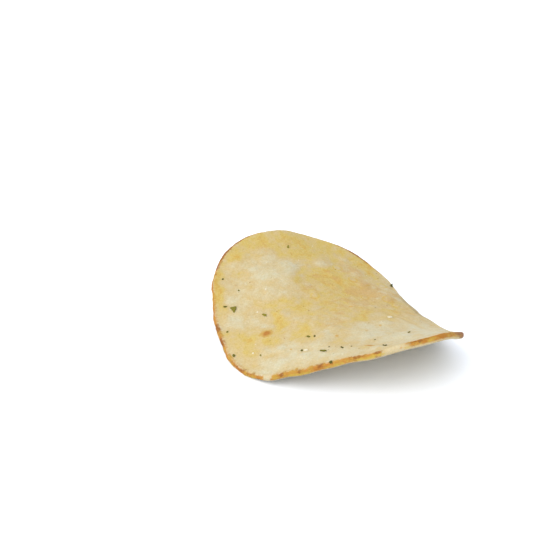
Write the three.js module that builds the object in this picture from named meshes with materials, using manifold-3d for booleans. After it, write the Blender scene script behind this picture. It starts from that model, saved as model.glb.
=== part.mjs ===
// One seasoned potato crisp: a thin slice of a potato with its skin left on, fried until it curled.
// Millimetres and degrees, +Z up. The crisp lies as it rests on a table, on the two low ends of its
// saddle, with the seasoned side up and the middle of its box over the origin.
import * as THREE from 'three';
import { mergeVertices } from 'three/addons/utils/BufferGeometryUtils.js';
import Module from 'manifold-3d';

// The slice, seen from above: a round that is stretched, a little pointed and a little squarish.
// A share of 0.152 means that the rim stands 15.2 % further out (and in) than the mean radius.
const meanRadius = 29.5;
const outlineLobes = [
  { lobes: 2, share: 0.152, toward: -48 },
  { lobes: 3, share: 0.07, toward: -34 },
  { lobes: 4, share: 0.049, toward: -37 },
  { lobes: 5, share: 0.007, toward: 16 },
  { lobes: 6, share: 0.009, toward: 18 },
  { lobes: 9, share: 0.002, toward: 22 },
  { lobes: 14, share: 0.003, toward: 5 },
  { lobes: 23, share: 0.002, toward: 7 },
];

// The curl: a saddle that rises along one line and falls across it. Heights hold 30 mm from its middle.
// It is uneven: it rises and falls more ahead, towards the blunt tip, and more aside, on the far side.
const saddle = { x: -8.8, y: 1.6, reach: 30, toward: -53.5 };
const riseAlong = 5.2;
const fallAcross = 7.4;
const moreRiseAhead = 1.1;
const moreFallAhead = 2.9;
const moreRiseAside = 0.4;
const moreFallAside = 0.6;
const lean = { x: 0.029, y: 0.099 };

// Long shallow waves over the whole slice, and the short ones that ruffle the rim.
const waves = [
  { length: 27, height: 0.25, toward: 20, start: 165 },
  { length: 18, height: 0.12, toward: 105, start: 170 },
  { length: 12, height: 0.1, toward: 62, start: 295 },
];
const rimRuffles = [
  { count: 8, height: 0.08, start: 230 },
  { count: 13, height: 0.07, start: 68 },
  { count: 21, height: 0.07, start: 275 },
];
const ruffleStart = 0.78;

// Thickness: thin in the middle, thicker in the band of skin round the rim.
const middleThickness = 1.45;
const rimThickness = 1.7;
const rimBand = 2.2;
const rimRound = 0.75;

// The steam blisters. One broad dome stands on the shown side; the rest follow a sunflower rule.
const dome = { x: -14, y: 9, radius: 10, height: 1.1 };
const blisterFields = {
  top: { count: 44, smallest: 1.7, largest: 4.2, height: 0.5, seed: 3 },
  under: { count: 34, smallest: 2, largest: 5.5, height: 0.65, seed: 11 },
};
const goldenAngle = 137.508;
const blisterReach = 0.9;
const blisterFade = { from: 0.86, to: 0.96 };

// The flat spots that the crisp rests on are this deep.
const flatSpotDepth = 0.2;

// Scraps of dried herb: place seen from above, length, width and turn.
const scrapThickness = 0.5;
const scrapCorners = 5;
const herbScraps = [
  { x: -25.3, y: 2.2, long: 0.8, wide: 0.6, turn: -10 },
  { x: -23.2, y: 1.4, long: 1.8, wide: 1.5, turn: -85 },
  { x: -15.4, y: -1.5, long: 1.2, wide: 0.7, turn: -45 },
  { x: -24.2, y: -6, long: 0.9, wide: 0.6, turn: -70 },
  { x: -22, y: -13.6, long: 0.9, wide: 0.7, turn: -60 },
  { x: -4.4, y: -11.8, long: 1.1, wide: 0.6, turn: -30 },
  { x: -2.9, y: -12.2, long: 0.8, wide: 0.6, turn: -75 },
  { x: -5.7, y: -17.2, long: 1.2, wide: 0.7, turn: -70 },
  { x: -0.5, y: -20.3, long: 1.8, wide: 0.6, turn: -32 },
  { x: 0.7, y: -18.7, long: 1, wide: 0.6, turn: -84 },
  { x: 3.8, y: -20.9, long: 1.1, wide: 0.6, turn: -60 },
  { x: 5.9, y: -21, long: 0.9, wide: 0.6, turn: -80 },
  { x: 13.6, y: -25.2, long: 1.5, wide: 0.6, turn: -50 },
  { x: 11.3, y: -18.7, long: 1.1, wide: 0.6, turn: -70 },
  { x: 19.2, y: -16.4, long: 1.2, wide: 0.6, turn: 60 },
  { x: -11.2, y: 23.8, long: 1.2, wide: 0.6, turn: -86 },
  { x: -26.6, y: 10.7, long: 0.8, wide: 0.6, turn: -80 },
  { x: -22.3, y: 7, long: 0.8, wide: 0.6, turn: 60 },
  { x: -15.5, y: -15.1, long: 0.7, wide: 0.6, turn: -68 },
  { x: 1.4, y: -26.2, long: 1.3, wide: 0.7, turn: -55 },
  { x: 14.9, y: 20.2, long: 1, wide: 0.7, turn: 78 },
];

// Grains of coarse salt: place seen from above and width.
const grainCorners = 4;
const saltGrains = [
  { x: 14.7, y: -2.1, wide: 1 },
  { x: -4.7, y: -17.7, wide: 1 },
  { x: -17.4, y: -13.9, wide: 0.8 },
  { x: -17.2, y: -0.2, wide: 0.8 },
  { x: -15.6, y: 6.5, wide: 0.6 },
];

// The net of triangles: rings round the middle, each with six points more than the one inside it.
const rings = 25;
const rimSteps = [50, 0, -50];

const radians = THREE.MathUtils.degToRad;
const smooth = THREE.MathUtils.smoothstep;

// A repeatable draw between 0 and 1 for item number `item` of a numbered series.
function draw(item, series) {
  const turns = Math.sin(item * 12.9898 + series * 78.233) * 43758.5453;
  return turns - Math.floor(turns);
}

// Distance from the middle of the slice to its rim, in direction `angle` (radians).
function rimRadius(angle) {
  let share = 1;
  for (const lobe of outlineLobes) {
    share += lobe.share * Math.cos(lobe.lobes * (angle - radians(lobe.toward)));
  }
  return meanRadius * share;
}

// 0 in the middle of the slice and 1 at its rim.
function nearnessToRim(x, y) {
  return Math.hypot(x, y) / rimRadius(Math.atan2(y, x));
}

// Height of the middle layer of the slice over the point x, y.
function middleHeight(x, y) {
  const turn = radians(saddle.toward);
  const dx = x - saddle.x;
  const dy = y - saddle.y;
  const along = (dx * Math.cos(turn) + dy * Math.sin(turn)) / saddle.reach;
  const across = (dy * Math.cos(turn) - dx * Math.sin(turn)) / saddle.reach;
  const rise = riseAlong + moreRiseAhead * along + moreRiseAside * across;
  const fall = fallAcross + moreFallAhead * along + moreFallAside * across;
  let height = rise * along ** 2 - fall * across ** 2 + lean.x * dx + lean.y * dy;
  for (const wave of waves) {
    const way = x * Math.cos(radians(wave.toward)) + y * Math.sin(radians(wave.toward));
    height += wave.height * Math.sin(2 * Math.PI * way / wave.length + radians(wave.start));
  }
  const ruffled = smooth(nearnessToRim(x, y), ruffleStart, 1);
  for (const ruffle of rimRuffles) {
    height += ruffled * ruffle.height
      * Math.sin(ruffle.count * Math.atan2(y, x) + radians(ruffle.start));
  }
  return height;
}

// Upward normal of the middle layer.
function middleNormal(x, y) {
  const step = 0.05;
  const slopeX = (middleHeight(x + step, y) - middleHeight(x - step, y)) / (2 * step);
  const slopeY = (middleHeight(x, y + step) - middleHeight(x, y - step)) / (2 * step);
  return new THREE.Vector3(-slopeX, -slopeY, 1).normalize();
}

// The blisters of one side, spread like the seeds of a sunflower, each with a drawn size.
function blisterField({ count, smallest, largest, height, seed }) {
  const blisters = [];
  for (let item = 1; item <= count; item += 1) {
    const angle = radians(item * goldenAngle + seed * 10 + 40 * draw(item, seed));
    const out = blisterReach * Math.sqrt((item - 0.3) / count) * rimRadius(angle);
    const radius = smallest + (largest - smallest) * draw(item, seed + 1) ** 2;
    blisters.push({
      x: out * Math.cos(angle),
      y: out * Math.sin(angle),
      radius,
      height: height * (0.35 + 0.65 * draw(item, seed + 2)) * Math.sqrt(radius / largest),
    });
  }
  return blisters;
}

const topBlisters = [dome, ...blisterField(blisterFields.top)];
const underBlisters = blisterField(blisterFields.under);

// How far the blisters lift the skin of one side at x, y; they die out before the rim.
function blisterLift(x, y, blisters) {
  let lift = 0;
  for (const blister of blisters) {
    const away = Math.hypot(x - blister.x, y - blister.y) / blister.radius;
    if (away < 1) lift += blister.height * (1 - away ** 2) ** 2;
  }
  return lift * (1 - smooth(nearnessToRim(x, y), blisterFade.from, blisterFade.to));
}

function halfThickness(x, y) {
  const fromRim = (1 - nearnessToRim(x, y)) * meanRadius;
  const band = 1 - smooth(fromRim, 0, rimBand);
  return (middleThickness + (rimThickness - middleThickness) * band) / 2;
}

// A point of the outer surface over x, y: side is 1 for the shown side and -1 for the underside.
function surfacePoint(x, y, side) {
  const lift = halfThickness(x, y) + blisterLift(x, y, side > 0 ? topBlisters : underBlisters);
  const middle = new THREE.Vector3(x, y, middleHeight(x, y));
  return middle.addScaledVector(middleNormal(x, y), side * lift);
}

// A point of the rounded rim, `tilt` degrees above or below the middle layer.
function rimPoint(angle, tilt) {
  const inner = rimRadius(angle) - rimRound;
  const x = inner * Math.cos(angle);
  const y = inner * Math.sin(angle);
  const normal = middleNormal(x, y);
  const outward = new THREE.Vector3(Math.cos(angle), Math.sin(angle), 0);
  outward.addScaledVector(normal, -outward.dot(normal)).normalize();
  return new THREE.Vector3(x, y, middleHeight(x, y))
    .addScaledVector(outward, rimRound * Math.cos(radians(tilt)))
    .addScaledVector(normal, halfThickness(x, y) * Math.sin(radians(tilt)));
}

// Adds one side of the slice, ring by ring, and gives back the number of its first rim point.
function addSide(points, triangles, side) {
  const start = points.length;
  const numberOf = (ring, place) => {
    if (ring === 0) return start;
    return start + 1 + 3 * ring * (ring - 1) + (place % (6 * ring));
  };
  for (let ring = 0; ring <= rings; ring += 1) {
    for (let place = 0; place < Math.max(1, 6 * ring); place += 1) {
      const angle = ring === 0 ? 0 : 2 * Math.PI * place / (6 * ring);
      const out = (rimRadius(angle) - rimRound) * ring / rings;
      points.push(surfacePoint(out * Math.cos(angle), out * Math.sin(angle), side));
    }
  }
  const addTriangle = (a, b, c) => triangles.push(side > 0 ? [a, b, c] : [a, c, b]);
  for (let ring = 1; ring <= rings; ring += 1) {
    for (let sector = 0; sector < 6; sector += 1) {
      for (let step = 0; step < ring; step += 1) {
        const outer = numberOf(ring, sector * ring + step);
        const nextOuter = numberOf(ring, sector * ring + step + 1);
        const inner = numberOf(ring - 1, sector * (ring - 1) + step);
        addTriangle(inner, outer, nextOuter);
        if (step < ring - 1) {
          addTriangle(inner, nextOuter, numberOf(ring - 1, sector * (ring - 1) + step + 1));
        }
      }
    }
  }
  return numberOf(rings, 0);
}

// The bare slice as points and triangles: both sides and the rounded rim between them.
function sliceNet() {
  const points = [];
  const triangles = [];
  const topRim = addSide(points, triangles, 1);
  const underRim = addSide(points, triangles, -1);
  const around = 6 * rings;
  const hoops = [topRim];
  for (const tilt of rimSteps) {
    hoops.push(points.length);
    for (let place = 0; place < around; place += 1) {
      points.push(rimPoint(2 * Math.PI * place / around, tilt));
    }
  }
  hoops.push(underRim);
  for (let hoop = 0; hoop < hoops.length - 1; hoop += 1) {
    for (let place = 0; place < around; place += 1) {
      const next = (place + 1) % around;
      const [upper, lower] = [hoops[hoop], hoops[hoop + 1]];
      triangles.push([upper + place, lower + place, lower + next]);
      triangles.push([upper + place, lower + next, upper + next]);
    }
  }
  return { points, triangles };
}

// An uneven scrap or grain, half sunk in the shown side: a prism that follows the surface's tilt.
// Its corners are drawn up to a quarter short of full size, and its upper face is a little smaller.
const cornerShortfall = 0.25;
const cornerShift = 0.3;
const upperFace = 0.9;
function chipNet({ x, y, long, wide, thick, turn, corners, series }) {
  const normal = middleNormal(x, y);
  const along = new THREE.Vector3(Math.cos(radians(turn)), Math.sin(radians(turn)), 0);
  along.addScaledVector(normal, -along.dot(normal)).normalize();
  const across = new THREE.Vector3().crossVectors(normal, along);
  const middle = surfacePoint(x, y, 1);
  const points = [];
  for (const level of [-0.5, 0.5]) {
    for (let corner = 0; corner < corners; corner += 1) {
      const angle = 2 * Math.PI * (corner + cornerShift * draw(corner, series)) / corners;
      const size = (1 - cornerShortfall * draw(corner, series + 0.5)) * (level > 0 ? upperFace : 1);
      points.push(middle.clone()
        .addScaledVector(along, size * long / 2 * Math.cos(angle))
        .addScaledVector(across, size * wide / 2 * Math.sin(angle))
        .addScaledVector(normal, level * thick));
    }
  }
  const triangles = [];
  for (let corner = 0; corner < corners; corner += 1) {
    const next = (corner + 1) % corners;
    triangles.push([corner, next, corners + next], [corner, corners + next, corners + corner]);
    if (corner > 0 && next > 0) {
      triangles.push([0, next, corner], [corners, corners + corner, corners + next]);
    }
  }
  return { points, triangles };
}

function geometryOf({ points, triangles }) {
  const geometry = new THREE.BufferGeometry();
  geometry.setAttribute('position', new THREE.Float32BufferAttribute(
    points.flatMap((point) => point.toArray()), 3));
  geometry.setIndex(triangles.flat());
  return geometry;
}

const wasm = await Module();
wasm.setup();

function solidOf(net) {
  const geometry = mergeVertices(geometryOf(net));
  return new wasm.Manifold(new wasm.Mesh({
    numProp: 3,
    vertProperties: Float32Array.from(geometry.getAttribute('position').array),
    triVerts: Uint32Array.from(geometry.getIndex().array),
  }));
}

// Sets the slice down: its box over the origin, its two low ends pressed flat on the table.
function settlingMove(points) {
  const box = new THREE.Box3().setFromPoints(points);
  const middle = box.getCenter(new THREE.Vector3());
  return new THREE.Vector3(-middle.x, -middle.y, -box.min.z - flatSpotDepth);
}

function settle(net, move) {
  for (const point of net.points) {
    point.add(move);
    point.z = Math.max(point.z, 0);
  }
  return net;
}

function makeCrisp() {
  const slice = sliceNet();
  const move = settlingMove(slice.points);
  let solid = solidOf(settle(slice, move));
  herbScraps.forEach((scrap, number) => {
    const net = chipNet({ ...scrap, thick: scrapThickness, corners: scrapCorners, series: number });
    solid = solid.add(solidOf(settle(net, move)));
  });
  saltGrains.forEach((grain, number) => {
    const turn = 90 * draw(number, 5);
    const cube = { ...grain, long: grain.wide, thick: grain.wide, turn };
    const net = chipNet({ ...cube, corners: grainCorners, series: herbScraps.length + number });
    solid = solid.add(solidOf(settle(net, move)));
  });
  const { vertProperties, triVerts, numProp } = solid.getMesh();
  const geometry = new THREE.BufferGeometry();
  geometry.setAttribute('position', new THREE.BufferAttribute(Float32Array.from(vertProperties), numProp));
  geometry.setIndex(new THREE.BufferAttribute(Uint32Array.from(triVerts), 1));
  const friedPotato = new THREE.MeshStandardMaterial({ color: 0xe6cf8e, roughness: 0.6, metalness: 0 });
  const mesh = new THREE.Mesh(geometry, friedPotato);
  mesh.name = 'crisp';
  return mesh;
}

const potatoCrisp = new THREE.Group();
potatoCrisp.name = 'potato_crisp';
potatoCrisp.add(makeCrisp());

export default potatoCrisp;
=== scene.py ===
# %% [markdown]
# # A seasoned potato crisp
#
# The object is one thick-cut crisp: a slice of potato with its skin left on, fried until it curled
# into a saddle, then dusted with salt and dried herbs. It lies alone on a pale table. The packed
# solid gives its place and its main form. This lesson lays a much finer skin over the same form,
# with the small blisters, the browned rim and the seasoning that a coarse solid has to leave out.
# Sizes are written in millimetres, as one would measure them on a real crisp.

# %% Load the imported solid
import math

import bpy
import numpy as np
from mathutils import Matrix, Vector, noise


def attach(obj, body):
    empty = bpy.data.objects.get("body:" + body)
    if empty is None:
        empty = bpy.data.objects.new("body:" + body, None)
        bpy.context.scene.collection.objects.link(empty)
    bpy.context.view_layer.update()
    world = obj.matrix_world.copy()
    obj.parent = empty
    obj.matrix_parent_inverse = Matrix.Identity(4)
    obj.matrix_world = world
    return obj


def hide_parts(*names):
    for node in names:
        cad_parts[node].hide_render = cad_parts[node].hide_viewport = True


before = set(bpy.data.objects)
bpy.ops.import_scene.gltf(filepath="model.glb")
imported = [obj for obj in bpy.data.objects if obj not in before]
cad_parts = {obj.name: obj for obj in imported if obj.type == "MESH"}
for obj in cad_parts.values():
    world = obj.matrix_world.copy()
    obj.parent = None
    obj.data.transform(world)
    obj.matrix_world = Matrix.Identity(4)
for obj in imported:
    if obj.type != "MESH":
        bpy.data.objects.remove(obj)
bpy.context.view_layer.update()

MM = 0.001


# %% Tables of sizes
def size_table(columns, rows):
    """Rows of sizes as dictionaries; a short row leaves out the last columns."""
    return [dict(zip(columns.split(), row)) for row in rows]


print("a row of a table:", size_table("x y radius", [(14.3, 10.3, 1.5)])[0])

# %% [markdown]
# ## The outline of the slice
#
# Seen from above a potato slice is a round that is stretched one way, a little pointed and a little
# squarish. It could be traced point by point, but a potato has no corners: a mean radius and a few
# waves that run round it give the same outline from a handful of sizes. The share of a wave says how
# far the rim goes out and in, and `toward` is the direction, in degrees, where it stands out most.

# %% Outline
mean_radius = 29.5
outline_lobes = size_table("lobes share toward", [
    (2, 0.152, -48),
    (3, 0.070, -34),
    (4, 0.049, -37),
    (5, 0.007, 16),
    (6, 0.009, 18),
    (9, 0.002, 22),
    (14, 0.003, 5),
    (23, 0.002, 7),
])


def rim_radius(angle):
    """Distance from the middle of the slice to its rim, in the direction of each angle (radians)."""
    share = np.ones_like(angle)
    for lobe in outline_lobes:
        share = share + lobe["share"] * np.cos(lobe["lobes"] * (angle - math.radians(lobe["toward"])))
    return mean_radius * share


def nearness_to_rim(x, y):
    """0 in the middle of the slice and 1 at its rim."""
    return np.hypot(x, y) / rim_radius(np.arctan2(y, x))


round_angles = np.linspace(0, 2 * math.pi, 361)
reach = rim_radius(round_angles)
print(f"the rim lies {reach.min():.1f} to {reach.max():.1f} mm from the middle")

# %% [markdown]
# ## The curl
#
# In the hot oil the slice dries unevenly and bends two ways at once: up along one line and down
# across it, which makes a saddle. A saddle is one short formula. Three long, shallow waves and some
# ruffles that grow towards the rim take away its perfection, as the real thing has no even curve.

# %% Sizes of the curl
saddle = {"x": -8.8, "y": 1.6, "reach": 30, "toward": -53.5}
rise_along = 5.2
fall_across = 7.4
more_rise_ahead = 1.1
more_fall_ahead = 2.9
more_rise_aside = 0.4
more_fall_aside = 0.6
lean = {"x": 0.029, "y": 0.099}
waves = size_table("length height toward start", [
    (27, 0.25, 20, 165),
    (18, 0.12, 105, 170),
    (12, 0.10, 62, 295),
])
rim_ruffles = size_table("count height start", [
    (8, 0.08, 230),
    (13, 0.07, 68),
    (21, 0.07, 275),
])
ruffle_start = 0.78
print(f"the slice rises by {rise_along} mm along the saddle and falls by {fall_across} mm across it")


# %% Height of the middle layer
def smooth(value, low, high):
    """A soft step: 0 up to low, 1 from high on."""
    share = np.clip((value - low) / (high - low), 0, 1)
    return share * share * (3 - 2 * share)


def middle_height(x, y):
    """Height of the slice's middle layer over each point."""
    turn = math.radians(saddle["toward"])
    dx = x - saddle["x"]
    dy = y - saddle["y"]
    along = (dx * math.cos(turn) + dy * math.sin(turn)) / saddle["reach"]
    across = (dy * math.cos(turn) - dx * math.sin(turn)) / saddle["reach"]
    rise = rise_along + more_rise_ahead * along + more_rise_aside * across
    fall = fall_across + more_fall_ahead * along + more_fall_aside * across
    height = rise * along**2 - fall * across**2 + lean["x"] * dx + lean["y"] * dy
    for wave in waves:
        toward = math.radians(wave["toward"])
        way = x * math.cos(toward) + y * math.sin(toward)
        phase = 2 * math.pi * way / wave["length"] + math.radians(wave["start"])
        height = height + wave["height"] * np.sin(phase)
    ruffled = smooth(nearness_to_rim(x, y), ruffle_start, 1)
    for ruffle in rim_ruffles:
        phase = ruffle["count"] * np.arctan2(y, x) + math.radians(ruffle["start"])
        height = height + ruffled * ruffle["height"] * np.sin(phase)
    return height


rim_heights = middle_height(reach * np.cos(round_angles), reach * np.sin(round_angles))
print(f"the rim rises and falls by {np.ptp(rim_heights):.1f} mm")


# %% Upward normals
def unit(vectors):
    """The same directions at length 1."""
    return vectors / np.linalg.norm(vectors, axis=-1, keepdims=True)


def middle_normal(x, y):
    """Upward normal of the middle layer at each point."""
    step = 0.05
    slope_x = (middle_height(x + step, y) - middle_height(x - step, y)) / (2 * step)
    slope_y = (middle_height(x, y + step) - middle_height(x, y - step)) / (2 * step)
    return unit(np.stack([-slope_x, -slope_y, np.ones_like(slope_x)], -1))


print("normal in the middle:", middle_normal(np.zeros(1), np.zeros(1))[0].round(2))

# %% [markdown]
# ## Steam blisters
#
# Water in the potato boils and lifts the skin into blisters of every size. The large ones belong to
# the main form, and the solid has them too. The small ones and the pits of burst bubbles are only
# here, and so are four faint creases where the slice bends most. Dropping blisters anywhere by
# chance leaves clumps and bald patches, so their places follow the rule by which a sunflower sets
# its seeds, one golden angle after another, with a small random shift.

# %% Sizes of the blisters
golden_angle = 137.508
blister_reach = 0.9
blister_fade = (0.86, 0.96)
dome = {"x": -14, "y": 9, "radius": 10, "height": 1.1}
blister_fields = {
    "top": {"count": 44, "smallest": 1.7, "largest": 4.2, "height": 0.5, "seed": 3},
    "under": {"count": 34, "smallest": 2, "largest": 5.5, "height": 0.65, "seed": 11},
}
bubble_fields = {
    "top": {"count": 420, "smallest": 0.45, "largest": 1.5, "height": 0.1, "seed": 21},
    "under": {"count": 420, "smallest": 0.45, "largest": 1.6, "height": 0.18, "seed": 31},
}
ring_blisters = size_table("x y radius height", [
    (14.3, 10.3, 1.5, 0.16),
    (12.8, 18.0, 1.3, 0.11),
    (16.3, 8.4, 1.0, 0.12),
    (5.5, 16.5, 1.2, 0.07),
    (8.6, 9.4, 1.1, 0.06),
    (-3.6, 5.6, 1.2, 0.05),
    (1.6, 20.4, 1.3, 0.06),
])
pit_fields = {
    "top": {"count": 150, "smallest": 0.3, "largest": 0.8, "height": -0.07, "seed": 41},
    "under": {"count": 150, "smallest": 0.3, "largest": 0.8, "height": -0.11, "seed": 51},
}
print("the largest blister on top is", 2 * blister_fields["top"]["largest"], "mm across")

# %% Spread and lift of the blisters
draw_item_step = 12.9898
draw_series_step = 78.233
draw_stretch = 43758.5453
field_turn = 10
angle_jitter = 40
first_blister_in = 0.3
least_height = 0.35


def draw(item, series):
    """A repeatable draw from 0 to 1 for one item of a series: the far decimals of a large sine."""
    turns = math.sin(item * draw_item_step + series * draw_series_step) * draw_stretch
    return turns - math.floor(turns)


def blister_field(count, smallest, largest, height, seed):
    """Blisters spread like the seeds of a sunflower, each with a drawn size."""
    blisters = []
    for item in range(1, count + 1):
        angle = math.radians(item * golden_angle + seed * field_turn + angle_jitter * draw(item, seed))
        share_out = math.sqrt((item - first_blister_in) / count)
        out = blister_reach * share_out * float(rim_radius(np.float64(angle)))
        radius = smallest + (largest - smallest) * draw(item, seed + 1) ** 2
        share_tall = least_height + (1 - least_height) * draw(item, seed + 2)
        tall = height * share_tall * math.sqrt(radius / largest)
        blisters.append({"x": out * math.cos(angle), "y": out * math.sin(angle),
                         "radius": radius, "height": tall})
    return blisters


def lift_of(blisters, x, y):
    """How far a list of blisters lifts the skin at each point."""
    lift = np.zeros_like(x)
    for blister in blisters:
        away = np.hypot(x - blister["x"], y - blister["y"]) / blister["radius"]
        lift = lift + np.where(away < 1, blister["height"] * (1 - away**2) ** 2, 0)
    return lift * (1 - smooth(nearness_to_rim(x, y), *blister_fade))


print("the first draws:", [round(draw(item, 1), 2) for item in range(1, 6)])

# %% Creases
creases = [
    {"from": (12.4, 4.6), "to": (26.0, -11.9), "width": 0.8, "depth": 0.16},
    {"from": (13.6, 10.0), "to": (26.9, -2.6), "width": 0.7, "depth": 0.14},
    {"from": (16.1, 11.5), "to": (27.0, 3.0), "width": 0.6, "depth": 0.12},
    {"from": (9.6, 8.6), "to": (15.2, -2.4), "width": 0.6, "depth": 0.08},
]
crease_wander = {"reach": 0.6, "length": 2.3}
crease_fade_in = 3
crease_fade_out = 4
crease_stop = (0.9, 0.97)


def crease_at(x, y):
    """How deep the fine creases of the shown side are at each point."""
    depth = np.zeros_like(x)
    for crease in creases:
        start = np.array(crease["from"])
        way = np.array(crease["to"]) - start
        length = math.hypot(*way)
        ahead = way / length
        along = (x - start[0]) * ahead[0] + (y - start[1]) * ahead[1]
        aside = (y - start[1]) * ahead[0] - (x - start[0]) * ahead[1]
        aside = aside + crease_wander["reach"] * np.sin(along / crease_wander["length"])
        fade = smooth(along, 0, crease_fade_in) * (1 - smooth(along, length - crease_fade_out, length))
        depth = depth + crease["depth"] * fade * np.exp(-((aside / crease["width"]) ** 2))
    return depth * (1 - smooth(nearness_to_rim(x, y), *crease_stop))


print(len(creases), "creases, up to", max(crease["depth"] for crease in creases), "mm deep")

# %% All the blisters
main_blisters = {
    "top": [dome] + blister_field(**blister_fields["top"]),
    "under": blister_field(**blister_fields["under"]),
}
small_blisters = {
    side: blister_field(**bubble_fields[side]) + blister_field(**pit_fields[side])
    for side in ("top", "under")
}
small_blisters["top"] += ring_blisters
print("blisters on top:", len(main_blisters["top"]), "large and", len(small_blisters["top"]), "small")

# %% [markdown]
# ## Thickness and the band of skin
#
# The flesh is thinner than the tough band of potato skin round it. The same two numbers as in the
# solid set this. A point of either side is found by walking from the middle layer along its normal,
# which keeps the slice evenly thick where it is steep; walking straight up would thin it there.

# %% Surface of both sides
middle_thickness = 1.45
rim_thickness = 1.7
rim_band = 2.2
rim_round = 0.75


def half_thickness(x, y):
    """Half the thickness of the bare slice at each point."""
    from_rim = (1 - nearness_to_rim(x, y)) * mean_radius
    band = 1 - smooth(from_rim, 0, rim_band)
    return (middle_thickness + (rim_thickness - middle_thickness) * band) / 2


def surface_points(x, y, side, fine=True):
    """Points of the outer surface over x, y on one side, 'top' or 'under'."""
    lift = half_thickness(x, y) + lift_of(main_blisters[side], x, y)
    if fine:
        lift = lift + lift_of(small_blisters[side], x, y)
        if side == "top":
            lift = lift - crease_at(x, y)
    away = 1 if side == "top" else -1
    return np.stack([x, y, middle_height(x, y)], -1) + middle_normal(x, y) * (away * lift)[:, None]


def rim_points(angle, tilt):
    """Points of the rounded rim, tilt degrees above or below the middle layer."""
    inner = rim_radius(angle) - rim_round
    x = inner * np.cos(angle)
    y = inner * np.sin(angle)
    normal = middle_normal(x, y)
    outward = np.stack([np.cos(angle), np.sin(angle), np.zeros_like(angle)], -1)
    outward = unit(outward - normal * (outward * normal).sum(-1, keepdims=True))
    across = rim_round * math.cos(math.radians(tilt))
    up = half_thickness(x, y) * math.sin(math.radians(tilt))
    return np.stack([x, y, middle_height(x, y)], -1) + outward * across + normal * up[:, None]


bare_middle = 2 * half_thickness(np.zeros(1), np.zeros(1))[0]
print(f"the slice is {bare_middle:.2f} mm thick in the middle and {rim_thickness} mm at the rim")

# %% [markdown]
# ## A fine net of triangles
#
# A grid of rings and spokes is easy, but its triangles shrink to slivers in the middle. Here each
# ring has six points more than the one inside it, so all triangles stay about the same size, a
# quarter of a millimetre. That is fine enough for the smallest blister to be a real bump.

# %% Net of a disc
def disc_net(rings):
    """Ring shares, angles and triangles of a disc whose rings each gain six points."""
    shares = [np.zeros(1)]
    angles = [np.zeros(1)]
    triangles = []
    for ring in range(1, rings + 1):
        around = 6 * ring
        inner_around = max(1, 6 * (ring - 1))
        first = 1 + 3 * ring * (ring - 1)
        inner_first = 1 + 3 * (ring - 1) * (ring - 2) if ring > 1 else 0
        place = np.arange(around)
        sector, step = np.divmod(place, ring)
        shares.append(np.full(around, ring / rings))
        angles.append(2 * math.pi * place / around)
        outer = first + place
        next_outer = first + (place + 1) % around
        inner = inner_first + (sector * (ring - 1) + step) % inner_around
        next_inner = inner_first + (sector * (ring - 1) + step + 1) % inner_around
        triangles.append(np.stack([inner, outer, next_outer], -1))
        triangles.append(np.stack([inner, next_outer, next_inner], -1)[step < ring - 1])
    return np.concatenate(shares), np.concatenate(angles), np.concatenate(triangles)


def hoop_strips(starts, around):
    """Triangles between hoops of points, each hoop given by the number of its first point."""
    place = np.arange(around)
    after = (place + 1) % around
    strips = []
    for upper, lower in zip(starts[:-1], starts[1:]):
        strips.append(np.stack([upper + place, lower + place, lower + after], -1))
        strips.append(np.stack([upper + place, lower + after, upper + after], -1))
    return np.concatenate(strips)


rings = 120
shares, angles, side_triangles = disc_net(rings)
print(f"one side: {len(shares)} points and {len(side_triangles)} triangles")

# %% [markdown]
# ## The slice as a mesh
#
# Both sides use the same disc, and rounded hoops close the rim between them. The points are set down
# exactly as the solid is: its box stands over the origin and its two low ends are pressed flat on
# the table, so the mesh and the solid share one place. The rim's skin is wrinkled by a gentle noise,
# which mostly pulls it inwards, so that the crisp doesn't grow beyond its solid.

# %% Points and triangles of the slice
rim_tilts = [70, 50, 25, 0, -25, -50, -70]
flat_spot_depth = 0.2
skin_wrinkle = {"size": 1.3, "depth": 0.16, "inward": 0.5}

across_ring = (rim_radius(angles) - rim_round) * shares
flat_x = across_ring * np.cos(angles)
flat_y = across_ring * np.sin(angles)
hoop_around = 6 * rings
hoop_angles = 2 * math.pi * np.arange(hoop_around) / hoop_around


def slice_points(fine):
    """All points of the slice before it is set down: top, under side, then the rim's hoops."""
    parts = [surface_points(flat_x, flat_y, side, fine) for side in ("top", "under")]
    parts += [rim_points(hoop_angles, tilt) for tilt in rim_tilts]
    return np.concatenate(parts)


main_form = slice_points(fine=False)
lowest = main_form.min(0)
highest = main_form.max(0)
settle = np.array([-(lowest[0] + highest[0]) / 2, -(lowest[1] + highest[1]) / 2,
                   -lowest[2] - flat_spot_depth])

first_hoop = 2 * len(shares)
last_ring = len(shares) - hoop_around
hoop_starts = [last_ring] + [first_hoop + n * hoop_around for n in range(len(rim_tilts))]
hoop_starts.append(len(shares) + last_ring)

points = slice_points(fine=True)
hoops = points[first_hoop:]
wrinkles = np.array([noise.noise(Vector(p / skin_wrinkle["size"])) for p in hoops])
outward = unit(hoops * [1, 1, 0])
wrinkle_depth = skin_wrinkle["depth"] * (wrinkles - skin_wrinkle["inward"])
points[first_hoop:] = hoops + outward * wrinkle_depth[:, None]
points = points + settle
points[:, 2] = np.maximum(points[:, 2], 0)
triangles = np.concatenate([
    side_triangles,
    side_triangles[:, ::-1] + len(shares),
    hoop_strips(hoop_starts, hoop_around),
])
print("the slice has", len(points), "points and", len(triangles), "triangles")

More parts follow.
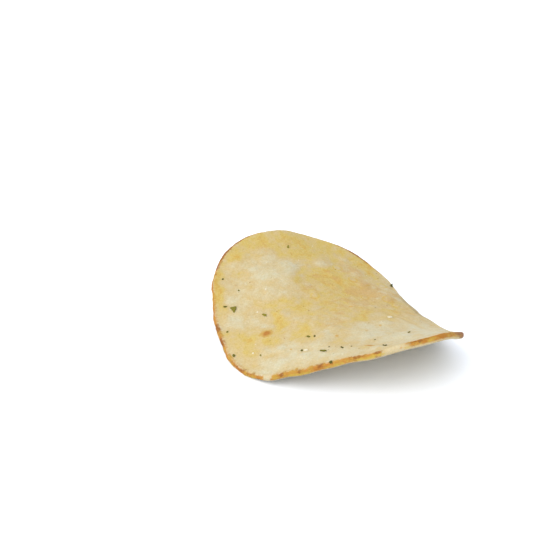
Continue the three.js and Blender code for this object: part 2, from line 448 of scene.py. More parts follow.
# %% [markdown]
# ## Marks painted on the points
#
# A cook sees where the oil soaked in, where the flesh stayed chalky, where it toasted and how the
# skin browned. Each of these is a mark on every point of the mesh: a number that is 0 or less where
# there is none of it and about 1 where there is much. Only rim_height differs, which runs from -1 on
# the underside to 1 on top. The material reads the marks later and breaks up their edges with
# noise. Painting an image would also work, but it needs a flat map of the surface, and marks need
# none. Two marks are partly painted light: the chalky mark also paints light onto the shaded fold,
# and the grey mark is painted shade where the far rim turns away from the lamp.
#
# An oval spot has its middle at x and y, is as long and wide as stated and is turned by some degrees.
# A stretch of the rim lies in one direction and spreads by some degrees to either side. The weight of
# each is its strength, and where two overlap the stronger one counts. The underside is never seen in
# a photograph taken from above, so it gets the same patches, turned over and moved.
#
# Blender's vector noise takes its seed from the clock unless one is set, and then every run would
# tear the edges of the patches in another way. So a seed is set before it is used.

# %% Oily patches, and chalky patches with painted light on the fold
oily_patches = size_table("x y long wide turn weight", [
    (-18.0, -9.4, 7.6, 4.2, -12, 0.75),
    (-18.4, -13.6, 4.4, 3.0, -68, 0.4),
    (-12.9, -4.6, 6.4, 3.6, 60, 0.75),
    (-7.3, 1.4, 7.4, 3.6, 10, 0.75),
    (-0.2, 15.2, 6.0, 4.8, 30, 1.0),
    (-8.8, 22.6, 4.8, 3.6, 55, 0.8),
    (-4.6, -8.8, 4.6, 3.2, -60, 0.65),
    (8.5, -1.5, 5.8, 2.8, 82, 0.85),
    (4.4, 10.6, 7.0, 3.4, 70, 0.9),
    (-0.5, 1.2, 3.8, 3.0, 87, 0.7),
    (16.2, 4.6, 3.8, 2.2, 70, 0.8),
    (9.0, 25.4, 4.6, 2.0, -40, 1.1),
    (3.4, 27.2, 3.2, 1.6, -15, 0.8),
    (-27.6, 8.0, 9.0, 2.0, -86, 1.0),
    (-24.0, 19.6, 3.6, 2.4, 60, 0.8),
    (-10.0, 25.0, 22.0, 6.5, 8, 0.7),
    (-7.2, 12.5, 8.0, 1.9, 85, 0.6),
    (-12.6, 2.8, 7.0, 2.2, 10, 0.5),
    (3.0, 4.0, 18.0, 13.0, 20, 0.4),
])
chalky_and_painted_light_patches = size_table("x y long wide turn weight", [
    (-14.6, 11.0, 8.6, 6.8, -82, 0.7),
    (-17.6, 10.6, 3.6, 2.6, -80, 0.95),
    (-11.2, 17.0, 4.2, 2.4, -30, 0.5),
    (-12.0, 4.2, 3.8, 2.0, 5, 0.7),
    (-22.0, -2.9, 3.6, 3.2, -58, 0.8),
    (-17.2, -3.8, 2.8, 2.4, -40, 0.6),
    (-13.0, -19.2, 5.0, 3.0, -33, 0.9),
    (-8.4, -14.8, 6.2, 2.8, -22, 0.8),
    # paler as painted light: this patch lightens the shade where the fold turns away from the lamp
    (11.2, -12.0, 8.0, 5.6, 65, 1.25),
    (16.9, -19.5, 10.0, 5.4, -52, 0.9),
    (0.9, -22.4, 11.0, 3.4, -33, 0.9),
    # paler as painted light on the fold, which turns away from the lamp
    (23.5, -11.5, 9.0, 5.0, -85, 1.3),
    (23.5, -18.5, 6.0, 4.0, -60, 1.5),
    (-6.0, -20.0, 7.0, 3.6, -25, 1.0),
    (-22.3, 3.4, 3.8, 3.0, 80, 0.75),
])
print(len(oily_patches), "oily and", len(chalky_and_painted_light_patches), "chalky patches")

# %% Tan patches and toasted spots
tan_patches = size_table("x y long wide turn weight", [
    (4.4, 21.6, 5.0, 4.0, -30, 0.8),
    (8.0, 12.4, 7.0, 5.6, 80, 1.2),
    (14.6, 12.4, 7.0, 4.0, 80, 0.9),
    (19.0, 4.4, 9.0, 3.6, 75, 0.8),
    (-4.4, 8.2, 6.0, 4.0, 40, 0.7),
    (-15.4, 24.0, 7.0, 3.0, 20, 0.6),
    (-24.0, 10.9, 1.2, 0.9, -76, 0.7),
    (1.8, -6.0, 6.0, 4.0, 0, 0.6),
    (6.5, 6.5, 17.0, 11.0, 55, 0.7),
    (-0.4, 15.0, 5.0, 3.6, 30, 0.8),
])
toasted_spots = size_table("x y long wide turn weight", [
    (-14.7, -8.5, 1.8, 1.3, 20, 1.0),
    (9.3, 15.4, 0.9, 0.5, 48, 0.55),
    (5.2, 2.6, 0.7, 0.6, 81, 0.55),
    (12.4, -7.3, 0.6, 0.45, 89, 0.5),
    (24.7, -2.6, 0.9, 0.5, 85, 0.5),
    (2.2, -13.2, 0.7, 0.5, -80, 0.6),
    (9.2, -11.4, 0.6, 0.4, -89, 0.5),
    (9.9, -22.4, 1.5, 0.5, -34, 1.0),
    (-6.8, -24.1, 0.7, 0.5, -71, 0.7),
    (-3.4, -25.3, 0.9, 0.5, -52, 0.7),
    (-8.5, -15.6, 0.5, 0.4, -55, 0.5),
])
print(len(tan_patches), "tan patches and", len(toasted_spots), "toasted spots")

# %% Stretches of the rim
burnt_rim = size_table("toward spread weight", [
    (152, 2.0, 1.0),
    (141, 12, 0.85),
    (189, 2.8, 1.0),
    (200, 2.6, 1.0),
    (223, 7, 0.45),
    (246, 2.0, 0.55),
    (256, 1.4, 0.55),
    (267, 1.8, 0.7),
    (284, 3.4, 0.65),
    (292.5, 1.6, 0.8),
    (306, 4, 0.5),
    (338, 13, 1.5),
    (78, 10, 0.8),
])
bare_rim = size_table("toward spread weight", [
    (239, 2.8, 1.0),
    (298, 4.6, 1.0),
    (109, 13, 0.9),
])
wide_skin = size_table("toward spread weight", [
    (141, 17, 0.55),
    (77, 12, 0.6),
    (196, 34, 0.5),
    (262, 26, 0.45),
    (312, 9, 0.5),
    (337, 10, 1.0),
])
# painted shade: the far rim, where it turns away from the lamp, is painted grey
painted_shade_rim = size_table("toward spread weight", [
    (26, 23, 0.7),
])
print(len(burnt_rim), "burnt stretches and", len(bare_rim), "bare ones")

# %% Soft spots and stretches
spot_edge = (0.1, 1.35)
stretch_edge = (0.2, 1.7)


def oval_spots(spots, x, y):
    """The strongest of a list of soft oval spots at each point."""
    mark = np.zeros_like(x)
    for spot in spots:
        turn = math.radians(spot["turn"])
        dx = x - spot["x"]
        dy = y - spot["y"]
        along = (dx * math.cos(turn) + dy * math.sin(turn)) / spot["long"]
        across = (dy * math.cos(turn) - dx * math.sin(turn)) / spot["wide"]
        mark = np.maximum(mark, spot["weight"] * (1 - smooth(np.hypot(along, across), *spot_edge)))
    return mark


def rim_stretches(stretches, angle):
    """The strongest of a list of soft stretches of the rim at each angle."""
    mark = np.zeros_like(angle)
    for stretch in stretches:
        turn = np.angle(np.exp(1j * (angle - math.radians(stretch["toward"]))))
        away = np.abs(np.degrees(turn)) / stretch["spread"]
        mark = np.maximum(mark, stretch["weight"] * (1 - smooth(away, *stretch_edge)))
    return mark


one_spot = size_table("x y long wide turn weight", [(0, 0, 1, 1, 0, 1)])
print("a spot fades outwards:", oval_spots(one_spot, np.array([0, 0.5, 1, 1.5]), np.zeros(4)).round(2))

# %% Torn edges of the patches
warp = {"size": 3.4, "reach": 2.6}
fine_warp = {"size": 1.2, "reach": 0.8}
warp_seed = 5
noise.seed_set(warp_seed)


def shift_of(size, reach):
    """A wandering sideways shift of every point, which tears the edges of the patches."""
    shifts = [noise.noise_vector(Vector((x, y, 0)) / size) for x, y in points[:, :2]]
    return reach * np.array(shifts)


edge_shift = shift_of(**warp) + shift_of(**fine_warp)
print(f"the edges are shifted by up to {np.abs(edge_shift[:, :2]).max():.1f} mm")

# %% Where each point lies
place_x = points[:, 0] - settle[0]
place_y = points[:, 1] - settle[1]
patch_x = place_x + edge_shift[:, 0]
patch_y = place_y + edge_shift[:, 1]
on_top = np.arange(len(points)) < len(shares)
on_hoop = np.arange(len(points)) >= first_hoop
place_angle = np.arctan2(place_y, place_x)
hoop_tilts = np.repeat(np.array(rim_tilts) / 90, hoop_around)
rim_height = np.concatenate([np.ones(len(shares)), -np.ones(len(shares)), hoop_tilts])
from_rim = rim_radius(place_angle) - rim_round - np.hypot(place_x, place_y)
print(f"{on_top.sum()} points on top and {on_hoop.sum()} on the rim")


# %% Marks on every point
full_blister = 0.3
full_crease = 0.16
ring_line = {"out": 0.85, "width": 0.22}
hoop_skin = 1.2
flesh_beside_rim = {"mark": 0.1, "drop": 0.6, "reach": 0.9}
wide_skin_reach = 2.2
# how far in from the far rim its painted shade reaches
painted_shade_edge = (0.3, 1.6)
toasted_shift = {"x": 5, "y": -7}


def two_sided(spots, x, y, under_x, under_y):
    """The spots as listed on top, and the same ones at other places on the underside."""
    return np.where(on_top, oval_spots(spots, x, y), oval_spots(spots, under_x, under_y))


top_lift = lift_of(main_blisters["top"][1:] + small_blisters["top"], place_x, place_y)
under_lift = lift_of(main_blisters["under"] + small_blisters["under"], place_x, place_y)
blister_tops = np.where(on_top, top_lift, under_lift)

blister_rings = np.zeros_like(place_x)
for blister in ring_blisters:
    away = np.hypot(place_x - blister["x"], place_y - blister["y"]) / blister["radius"]
    beside_line = (away - ring_line["out"]) / ring_line["width"]
    blister_rings = np.maximum(blister_rings, np.exp(-(beside_line**2)))

beside_rim = smooth(from_rim, 0, flesh_beside_rim["reach"])
thin_skin = np.where(on_hoop, hoop_skin * (1 - np.abs(rim_height)),
                     flesh_beside_rim["mark"] - flesh_beside_rim["drop"] * beside_rim)
broad_skin = np.where(rim_height > 0, rim_stretches(wide_skin, place_angle), 0)
broad_skin = broad_skin * (1 - smooth(from_rim, 0, wide_skin_reach))

marks = {
    "shown": on_top | on_hoop,
    "edge": on_hoop,
    "rim_height": rim_height,
    "skin": thin_skin + broad_skin,
    "blister": np.clip(blister_tops / full_blister, 0, 1) * ~on_hoop,
    "oily": two_sided(oily_patches, patch_x, patch_y, -patch_x, patch_y),
    "chalky": two_sided(chalky_and_painted_light_patches, patch_x, patch_y, patch_x, -patch_y),
    "tan": two_sided(tan_patches, patch_x, patch_y, -patch_x, -patch_y),
    "toasted": two_sided(toasted_spots, place_x, place_y,
                         place_x + toasted_shift["x"], place_y + toasted_shift["y"]),
    "burnt": rim_stretches(burnt_rim, place_angle),
    "bare": rim_stretches(bare_rim, place_angle),
    # the grey mark is painted shade along the far rim
    "grey": rim_stretches(painted_shade_rim, place_angle) * (1 - smooth(from_rim, *painted_shade_edge)),
    "ring": blister_rings * on_top,
    "crease": np.clip(crease_at(place_x, place_y) / full_crease, 0, 1) * on_top,
}
for name, values in marks.items():
    print(f"mark {name}: {np.mean(values):.3f} on average")


# %% Make the slice
def make_piece(name, points, triangles, marks):
    """A smooth mesh object from points in millimetres, with its marks; it replaces the plain solid."""
    mesh = bpy.data.meshes.new(name)
    mesh.from_pydata((points * MM).tolist(), [], triangles.tolist())
    for mark, values in marks.items():
        layer = mesh.attributes.new(mark, "FLOAT", "POINT")
        layer.data.foreach_set("value", np.asarray(values, dtype=np.float32))
    mesh.update()
    mesh.shade_smooth()
    piece = bpy.data.objects.new(name, mesh)
    bpy.context.scene.collection.objects.link(piece)
    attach(piece, "root")
    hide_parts("crisp")
    return piece


slice_piece = make_piece("crisp_slice", points, triangles, marks)
print("made", slice_piece.name, "with", len(slice_piece.data.polygons), "triangles")

# %% [markdown]
# ## Herbs, salt and dust
#
# The seasoning is what the light catches: torn scraps of dried leaf, a few coarse grains of salt and
# a little dust. Instances of one scrap would all look alike, so each is its own small net, built
# from a polygon with drawn corners, thin and curled for a leaf or thick for a grain. All scraps of
# one kind are joined into one piece.

# %% Places of the seasoning
herb_scraps = size_table("x y long wide turn corners", [
    (-25.3, 2.2, 0.7, 0.45, -10),
    (-23.2, 1.4, 1.9, 1.8, -85, 3),
    (-15.4, -1.5, 1.15, 0.5, -45),
    (-24.2, -6.0, 0.75, 0.5, -70),
    (-22.0, -13.6, 0.85, 0.55, -60),
    (-4.4, -11.8, 1.1, 0.5, -30),
    (-2.9, -12.2, 0.6, 0.4, -75),
    (-5.7, -17.2, 0.9, 0.5, -70),
    (-0.5, -20.3, 1.7, 0.36, -32),
    (0.7, -18.7, 0.7, 0.3, -84),
    (3.8, -20.9, 0.9, 0.4, -60),
    (5.9, -21.0, 0.7, 0.3, -80),
    (13.6, -25.2, 1.2, 0.35, -50),
    (11.3, -18.7, 0.8, 0.3, -70),
    (19.2, -16.4, 0.9, 0.3, 60),
    (-11.2, 23.8, 1.2, 0.4, -86),
    (-26.6, 10.7, 0.5, 0.4, -80),
    (-22.3, 7.0, 0.6, 0.4, 60),
    (-15.5, -15.1, 0.5, 0.35, -68),
    (1.4, -26.2, 1.1, 0.6, -55),
    (14.9, 20.2, 1.0, 0.7, 78),
])
salt_grains = size_table("x y long wide turn", [
    (14.7, -2.1, 0.9, 0.5, 0),
    (-4.7, -17.7, 0.9, 0.5, -20),
    (-17.4, -13.9, 0.42),
    (-17.2, -0.2, 0.4),
    (-15.6, 6.5, 0.36),
])


print(len(herb_scraps), "scraps and", len(salt_grains), "grains large enough to be told apart")

# %% Dust by the sunflower rule
dust_jitter = 90
half_turn = 180


def scatter(count, smallest, largest, slimness, reach, seed):
    """Scraps that lie anywhere on the shown side, by the sunflower rule."""
    scraps = []
    for item in range(1, count + 1):
        angle = math.radians(item * golden_angle + dust_jitter * draw(item, seed))
        out = reach * math.sqrt(item / count) * float(rim_radius(np.float64(angle)))
        long = smallest + (largest - smallest) * draw(item, seed + 1)
        scraps.append({"x": out * math.cos(angle), "y": out * math.sin(angle), "long": long,
                       "wide": slimness * long, "turn": half_turn * draw(item, seed + 2)})
    return scraps


herb_dust = scatter(count=18, smallest=0.12, largest=0.26, slimness=0.6, reach=0.93, seed=61)
spice_dust = scatter(count=26, smallest=0.12, largest=0.26, slimness=0.8, reach=0.93, seed=67)
salt_grains += scatter(count=22, smallest=0.12, largest=0.22, slimness=0.9, reach=0.93, seed=71)
print(len(herb_scraps), "herb scraps,", len(salt_grains), "salt grains")
print(len(herb_dust), "specks of herb dust,", len(spice_dust), "of spice")


# %% One chip of seasoning
turn_series = 5
shape_series = 7
tint_series = 13
quarter_turn = 90
chip_swell = 1.25
chip_oval = 0.16
chip_ragged = 0.1
chip_twist = 0.5


def chip_net(scrap, number, thick, curl, rings, corners):
    """Points and triangles of one polygonal chip that lies on the shown side."""
    corners = scrap.get("corners", corners)
    wide = scrap.get("wide", scrap["long"])
    turn = math.radians(scrap.get("turn", quarter_turn * draw(number, turn_series)))
    share, angle, flat = disc_net(rings)
    sector = 2 * math.pi / corners
    in_sector = np.mod(angle, sector) - sector / 2
    edge = math.cos(sector / 2) / np.cos(in_sector)
    oval = chip_oval * np.sin(2 * angle + 6 * draw(number, shape_series))
    ragged = chip_ragged * np.sin(5 * angle + number)
    size = chip_swell * share * edge * (1 + oval + ragged)
    along = size * scrap["long"] / 2 * np.cos(angle)
    across = size * wide / 2 * np.sin(angle)
    up_or_down = 1 - 2 * (number % 2)
    lift = up_or_down * curl * (along / scrap["long"]) ** 2 + chip_twist * curl * across * share
    x = np.full(1, scrap["x"])
    y = np.full(1, scrap["y"])
    up = middle_normal(x, y)[0]
    ahead = np.array([math.cos(turn), math.sin(turn), 0])
    ahead = unit(ahead - up * (ahead @ up))
    sideways = np.cross(up, ahead)
    middle = surface_points(x, y, "top")[0] + settle
    sheet = middle + along[:, None] * ahead + across[:, None] * sideways + lift[:, None] * up
    upper = sheet + 0.5 * thick * up
    lower = sheet - 0.5 * thick * up
    around = 6 * rings
    last = len(share) - around
    sides = hoop_strips([last, len(share) + last], around)
    net = np.concatenate([flat, flat[:, ::-1] + len(share), sides])
    return np.concatenate([upper, lower]), net


# %% Pieces of seasoning
def chip_piece(name, scraps, thick, curl, rings, corners):
    """All chips of one kind joined into one piece; thick is a share of each chip's length."""
    points = []
    triangles = []
    tints = []
    count = 0
    for number, scrap in enumerate(scraps):
        net, flat = chip_net(scrap, number, thick * scrap["long"], curl, rings, corners)
        points.append(net)
        triangles.append(flat + count)
        tints.append(np.full(len(net), draw(number, tint_series)))
        count += len(net)
    piece = make_piece(name, np.concatenate(points), np.concatenate(triangles),
                       {"tint": np.concatenate(tints)})
    print("made", name, "with", len(piece.data.polygons), "triangles")
    return piece


herb_piece = chip_piece("herb_scraps", herb_scraps, thick=0.22, curl=0.5, rings=5, corners=5)
herb_dust_piece = chip_piece("herb_dust", herb_dust, thick=0.5, curl=0, rings=1, corners=5)
spice_dust_piece = chip_piece("spice_dust", spice_dust, thick=0.6, curl=0, rings=1, corners=5)
salt_piece = chip_piece("salt_grains", salt_grains, thick=0.6, curl=0, rings=3, corners=4)

# %% [markdown]
# ## Shader maths in plain expressions
#
# A material in Blender is a web of nodes. Wiring it by hand hides the idea, so a small class wraps
# one socket and lets sums and products be written as Python writes them; each adds its Math node.
# Colours can't go through Math nodes, which would turn them grey, so they are blended by Mix nodes.

# %% Wires
class Wire:
    """One output socket of the material that is being made."""

    tree = None

    def __init__(self, socket):
        self.socket = socket

    @classmethod
    def node(cls, kind, settings=None, values=None, output=0):
        """Adds a node: its settings first, then the values or links of its sockets."""
        made = cls.tree.nodes.new(kind)
        for name, value in (settings or {}).items():
            if name == "stops":
                ramp = made.color_ramp.elements
                while len(ramp) < len(value):
                    ramp.new(0.5)
                for element, (position, colour) in zip(ramp, value):
                    element.position = position
                    element.color = colour
            else:
                setattr(made, name, value)
        for name, value in (values or {}).items():
            if isinstance(value, Wire):
                cls.tree.links.new(value.socket, made.inputs[name])
            else:
                made.inputs[name].default_value = value
        return cls(made.outputs[output])

    def maths(self, operation, first, second):
        return Wire.node("ShaderNodeMath", {"operation": operation}, {0: first, 1: second})

    def __add__(self, other):
        return self.maths("ADD", self, other)

    def __radd__(self, other):
        return self.maths("ADD", other, self)

    def __sub__(self, other):
        return self.maths("SUBTRACT", self, other)

    def __rsub__(self, other):
        return self.maths("SUBTRACT", other, self)

    def __mul__(self, other):
        return self.maths("MULTIPLY", self, other)

    def __rmul__(self, other):
        return self.maths("MULTIPLY", other, self)


# %% Colours and blends
def paint(red, green, blue):
    """A colour as seen on a screen, 0 to 255, turned into the linear light that Blender wants."""
    shares = [value / 255 for value in (red, green, blue)]
    linear = [s / 12.92 if s <= 0.04045 else ((s + 0.055) / 1.055) ** 2.4 for s in shares]
    return (*linear, 1.0)


def blend(below, above, share, way="MIX"):
    """One colour laid over another, by a share from 0 to 1."""
    settings = {"data_type": "RGBA", "blend_type": way}
    return Wire.node("ShaderNodeMix", settings, {0: share, 6: below, 7: above}, 2)


def soft_step(value, low, high):
    """The same soft step as before, now as a node; it falls where low is more than high."""
    settings = {"interpolation_type": "SMOOTHSTEP"}
    return Wire.node("ShaderNodeMapRange", settings, {"Value": value, "From Min": low, "From Max": high})


def mark(name):
    """A mark that was painted on the points."""
    return Wire.node("ShaderNodeAttribute", {"attribute_name": name}, output="Fac")


# %% Noises
foam_shake = 0.5
foam_softness = 0.6


def mottle(size, detail=2.0, roughness=0.5, distortion=0.0):
    """Cloudy noise between 0 and 1 whose clouds are about `size` millimetres across."""
    where = Wire.node("ShaderNodeTexCoord", output="Object")
    values = {"Vector": where, "Scale": 1 / (size * MM), "Detail": detail, "Roughness": roughness,
              "Distortion": distortion}
    return Wire.node("ShaderNodeTexNoise", {}, values, "Fac")


def foam(size):
    """Rounded cells about `size` millimetres across: low in the middle of each, higher between them."""
    where = Wire.node("ShaderNodeTexCoord", output="Object")
    scale = 1 / (size * MM)
    noise_colour = Wire.node("ShaderNodeTexNoise", {}, {"Vector": where, "Scale": scale}, "Color")
    shift = Wire.node("ShaderNodeVectorMath", {"operation": "SCALE"},
                      {0: noise_colour, "Scale": foam_shake * size * MM})
    shaken = Wire.node("ShaderNodeVectorMath", {"operation": "ADD"}, {0: where, 1: shift})
    values = {"Vector": shaken, "Scale": scale, "Smoothness": foam_softness}
    return Wire.node("ShaderNodeTexVoronoi", {"feature": "SMOOTH_F1"}, values, "Distance")


# %% Start and close a material
def finish_of(name, colour, roughness, height, bump_depth, **constants):
    """Closes the material: colour, roughness and a bump that is `bump_depth` millimetres deep."""
    shader = Wire.tree.nodes["Principled BSDF"]
    relief = {"Height": height, "Distance": bump_depth * MM, "Strength": 1.0}
    bump = Wire.node("ShaderNodeBump", {}, relief)
    for socket, wire in (("Base Color", colour), ("Roughness", roughness), ("Normal", bump)):
        Wire.tree.links.new(wire.socket, shader.inputs[socket])
    for socket, value in constants.items():
        shader.inputs[socket.replace("_", " ")].default_value = value
    print("finish", name, "has", len(Wire.tree.nodes), "nodes")


def start_finish(name):
    """A new material whose nodes the wires that follow belong to."""
    material = bpy.data.materials.new(name)
    material.use_nodes = True
    Wire.tree = material.node_tree
    return material


# %% [markdown]
# ## Fried potato
#
# The flesh is a pale straw yellow that turns golden where oil soaked in and chalky where a blister
# lifted the skin off it; on the fold it is also painted paler, as painted light against the fold's
# shade. Close up it is grainy with starch. The skin round the rim runs from amber to dark brown and
# is missing in places, and the far rim is painted grey, a painted shade where it turns away from
# the lamp. Light enters such a thin slice and comes out beside where it went in, so a little
# subsurface scattering keeps the flesh from looking like painted clay.
# Every noise wavers about a half. So a half is taken off it before it is added to a mark, and the
# number in front of it says how strongly it sways the mark.

# %% Colours of fried potato
flesh_chalky = paint(193, 184, 154)
flesh_pale = paint(192, 177, 140)
flesh_straw = paint(190, 168, 120)
flesh_golden = paint(191, 167, 95)
flesh_deep_gold = paint(190, 154, 72)
flesh_tan = paint(186, 152, 94)
flesh_browned = paint(184, 148, 72)
flesh_toasted = paint(166, 108, 40)
skin_yellow = paint(184, 156, 62)
skin_amber = paint(180, 134, 54)
skin_orange = paint(168, 110, 34)
skin_brown = paint(132, 74, 16)
skin_fringe = paint(202, 186, 142)
# grey of the painted shade on the far rim
painted_shade_grey = paint(152, 132, 92)
grain_light = paint(255, 255, 255)
grain_dark = paint(206, 206, 206)
print("straw yellow in linear light:", [round(value, 3) for value in flesh_straw])

# %% Noises of the slice
potato = start_finish("fried_potato")
cloud = mottle(size=8, detail=3)
blotch = mottle(size=3, detail=3, roughness=0.55, distortion=0.3)
speckle = mottle(size=1.4, detail=4, roughness=0.65)
crumb = mottle(size=0.7, detail=3, roughness=0.65)
starch = mottle(size=0.35, detail=2)
print(len(potato.node_tree.nodes), "nodes so far")

# %% Flesh
foam_size = 2.4
foam_middle = 0.4
tan_step = (0.35, 1.1)
browned_step = (0.05, 0.45)
toasted_step = (0.45, 0.95)
flesh_strength = {"tan": 0.75, "crease": 0.35, "browned": 0.85, "toasted": 0.9}

# the chalky mark pales chalky flesh and also paints light onto the fold's shade
cooked = 0.43 + 0.44 * mark("oily") - 0.32 * mark("chalky") - 0.15 * mark("blister") + 0.35 * mark("ring")
cooked = cooked - 0.3 * (1 - mark("shown")) - 0.25 * mark("edge")
gold = cooked + 0.3 * (cloud - 0.5) + 0.5 * (blotch - 0.5) + 0.5 * (speckle - 0.5) + 0.15 * (crumb - 0.5)
gold = gold + 0.3 * (foam(foam_size) - foam_middle)
flesh_stops = [(0.0, flesh_chalky), (0.25, flesh_pale), (0.5, flesh_straw), (0.75, flesh_golden),
               (1.0, flesh_deep_gold)]
flesh = Wire.node("ShaderNodeValToRGB", {"stops": flesh_stops}, {"Fac": gold})
tan_blotch = mottle(size=2.2, detail=3, roughness=0.6)
tanned = soft_step(mark("tan") + 2.2 * (tan_blotch - 0.5) + 0.5 * (speckle - 0.5), *tan_step)
flesh = blend(flesh, flesh_tan, flesh_strength["tan"] * tanned)
flesh = blend(flesh, flesh_deep_gold, flesh_strength["crease"] * mark("crease"))
spot = mark("toasted") + 0.5 * (crumb - 0.5)
flesh = blend(flesh, flesh_browned, flesh_strength["browned"] * soft_step(spot, *browned_step))
flesh = blend(flesh, flesh_toasted, flesh_strength["toasted"] * soft_step(spot, *toasted_step))
print(len(potato.node_tree.nodes), "nodes with the flesh")

# %% Skin
upper_step = (-0.05, 0.45)
lower_step = (-0.1, -0.5)
burnt_step = (0.5, 1.3)
skin_strength = {"upper": 0.5, "lower": 0.6, "burnt": 0.85}

along_rim = mottle(size=2.2, detail=3, roughness=0.6)
skin_stops = [(0.36, skin_orange), (0.48, skin_amber), (0.58, skin_yellow)]
skin = Wire.node("ShaderNodeValToRGB", {"stops": skin_stops}, {"Fac": along_rim + 0.5 * (crumb - 0.5)})
upper_edge = soft_step(mark("rim_height") + 0.8 * (crumb - 0.5), *upper_step)
skin = blend(skin, skin_orange, skin_strength["upper"] * upper_edge)
lower_edge = soft_step(mark("rim_height") + 0.3 * (crumb - 0.5), *lower_step)
skin = blend(skin, skin_fringe, skin_strength["lower"] * lower_edge)
browned = mark("burnt") + 0.45 * upper_edge + 1.3 * (speckle - 0.5) + 1.4 * (crumb - 0.5)
skin = blend(skin, skin_brown, skin_strength["burnt"] * soft_step(browned, *burnt_step))
print(len(potato.node_tree.nodes), "nodes with the skin")

# %% Flesh and skin together
skin_step = (0.22, 0.82)
bare_step = (0.3, 0.95)
painted_shade_step = (0.2, 0.9)
painted_shade_strength = 0.9
grain_strength = 0.95
bump_depth = 0.08
light_reach = (1.6 * MM, 1.0 * MM, 0.5 * MM)

skin_share = soft_step(mark("skin") + 0.8 * (crumb - 0.5) + 0.9 * (along_rim - 0.5), *skin_step)
bare = mark("bare") + 1.4 * (speckle - 0.5) + 1.2 * (crumb - 0.5)
skin_share = skin_share * (1 - soft_step(bare, *bare_step))
colour = blend(flesh, skin, skin_share)
# painted shade: the far rim is greyed where it turns away from the lamp
painted_shade_share = soft_step(mark("grey") + 0.5 * (crumb - 0.5), *painted_shade_step)
colour = blend(colour, painted_shade_grey, painted_shade_strength * painted_shade_share)
grain = blend(grain_light, grain_dark, grain_strength * (0.5 * starch + 0.5 * crumb))
colour = blend(colour, grain, 1.0, "MULTIPLY")
roughness = 0.6 + 0.2 * starch - 0.12 * gold
height = 0.5 * starch + 0.5 * crumb
finish_of("fried_potato", colour, roughness, height, bump_depth,
          Subsurface_Weight=0.15, Subsurface_Radius=light_reach, Subsurface_Scale=1.0,
          Specular_IOR_Level=0.25)
slice_piece.data.materials.append(potato)

# %% [markdown]
# ## Dried herb, salt and spice
#
# Dried leaf is dull olive green, and no two scraps have the same tint, so the tint drawn for each
# scrap picks its colour. Salt is off-white and a little glassy. The spice dust is dull brown.

# %% Finishes of the seasoning
def leaf_finish(name, dark, light):
    """A dull, finely veined finish whose colour follows each scrap's tint."""
    material = start_finish(name)
    fibre = mottle(size=0.25, detail=3)
    colour = blend(dark, light, soft_step(0.6 * mark("tint") + 0.5 * fibre, 0.25, 0.85))
    finish_of(name, colour, 0.6 + 0.25 * fibre, fibre, 0.04, Specular_IOR_Level=0.3)
    return material


def salt_finish():
    """Off-white crystals with a faintly cloudy inside."""
    material = start_finish("coarse_salt")
    cloudy = mottle(size=0.3, detail=2)
    colour = blend(paint(188, 180, 152), paint(210, 202, 178), cloudy)
    light_reach = (0.4 * MM, 0.4 * MM, 0.4 * MM)
    finish_of("coarse_salt", colour, 0.25 + 0.2 * cloudy, cloudy, 0.03,
              Subsurface_Weight=0.3, Subsurface_Radius=light_reach, Subsurface_Scale=1.0)
    return material


dried_herb = leaf_finish("dried_herb", dark=paint(68, 65, 6), light=paint(114, 106, 24))
spice = leaf_finish("ground_spice", dark=paint(122, 84, 36), light=paint(172, 130, 66))
coarse_salt = salt_finish()
for piece, material in ((herb_piece, dried_herb), (herb_dust_piece, dried_herb),
                        (spice_dust_piece, spice), (salt_piece, coarse_salt)):
    piece.data.materials.append(material)

# %% [markdown]
# ## Table, light and camera
#
# The crisp lies on a plain near-white table. One large soft lamp, high in front on the left, lights
# the shown side and throws the shadow back under the raised rim. An even sky, a little cooler than
# the lamp, fills the rest and keeps that shadow soft and grey. The camera looks down at 31 degrees
# from about half a metre away, through a long lens that keeps the crisp undistorted.

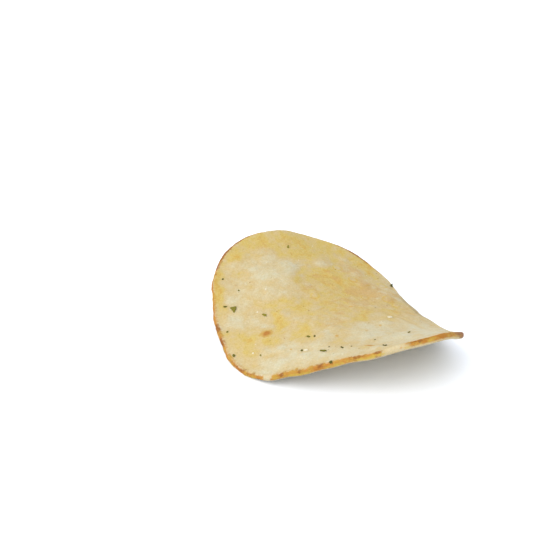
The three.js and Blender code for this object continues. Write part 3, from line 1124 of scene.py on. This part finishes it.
# %% Table
table_side = 6.0
table_mesh = bpy.data.meshes.new("table_top")
half_side = table_side / 2
table_corners = [(-half_side, -half_side, 0), (half_side, -half_side, 0),
                 (half_side, half_side, 0), (-half_side, half_side, 0)]
table_mesh.from_pydata(table_corners, [], [(0, 1, 2, 3)])
table_top = bpy.data.objects.new("table_top", table_mesh)
bpy.context.scene.collection.objects.link(table_top)
table_paint = start_finish("table_paint")
table_grain = mottle(size=4, detail=2)
table_colour = blend(paint(242, 245, 252), paint(244, 246, 252), table_grain)
finish_of("table_paint", table_colour, 0.8 + 0.1 * table_grain, table_grain, 0.01,
          Specular_IOR_Level=0.1)
table_mesh.materials.append(table_paint)

# %% Sky
sky_colour = (0.94, 0.975, 1.0, 1.0)
sky_strength = 1.27

scene = bpy.context.scene
scene.view_settings.view_transform = "Standard"
sky = bpy.data.worlds.new("white_sky")
sky.use_nodes = True
sky_light = sky.node_tree.nodes["Background"].inputs
sky_light["Color"].default_value = sky_colour
sky_light["Strength"].default_value = sky_strength
scene.world = sky
print("sky at strength", sky_strength)

# %% Lamp
lamp_colour = (1.0, 0.965, 0.92)


def soft_lamp(name, place, aim, side, watts):
    """A square lamp at one place, in metres, turned towards another."""
    lamp = bpy.data.lights.new(name, "AREA")
    lamp.shape = "SQUARE"
    lamp.size = side
    lamp.energy = watts
    lamp.color = lamp_colour
    holder = bpy.data.objects.new(name, lamp)
    holder.location = place
    holder.rotation_euler = (Vector(aim) - Vector(place)).to_track_quat("-Z", "Y").to_euler()
    bpy.context.scene.collection.objects.link(holder)
    return holder


key_lamp = soft_lamp("key_lamp", place=(-0.85, -0.8, 1.05), aim=(0, 0, 0), side=1.45, watts=20.5)
print("key lamp at", tuple(round(v, 2) for v in key_lamp.location))

# %% Camera
photo_side = 550
pixels_per_mm = 4.094
camera_distance = 480 * MM
camera_turn = math.radians(2.97)
camera_height = math.radians(31.39)
aim_right = -14.51 * MM
aim_up = 14.02 * MM

right = Vector((math.cos(camera_turn), math.sin(camera_turn), 0))
back = Vector((math.sin(camera_turn) * math.cos(camera_height),
               -math.cos(camera_turn) * math.cos(camera_height), math.sin(camera_height)))
up = back.cross(right)
camera_aim = right * aim_right + up * aim_up
lens = bpy.data.cameras.new("camera")
lens.sensor_width = 36
lens.lens = lens.sensor_width * pixels_per_mm * (camera_distance / MM) / photo_side
camera = bpy.data.objects.new("camera", lens)
camera.location = camera_aim + back * camera_distance
camera.rotation_euler = (-back).to_track_quat("-Z", "Y").to_euler()
bpy.context.scene.collection.objects.link(camera)
scene.camera = camera
print(f"a {lens.lens:.0f} mm lens, {camera_distance:.2f} m away")
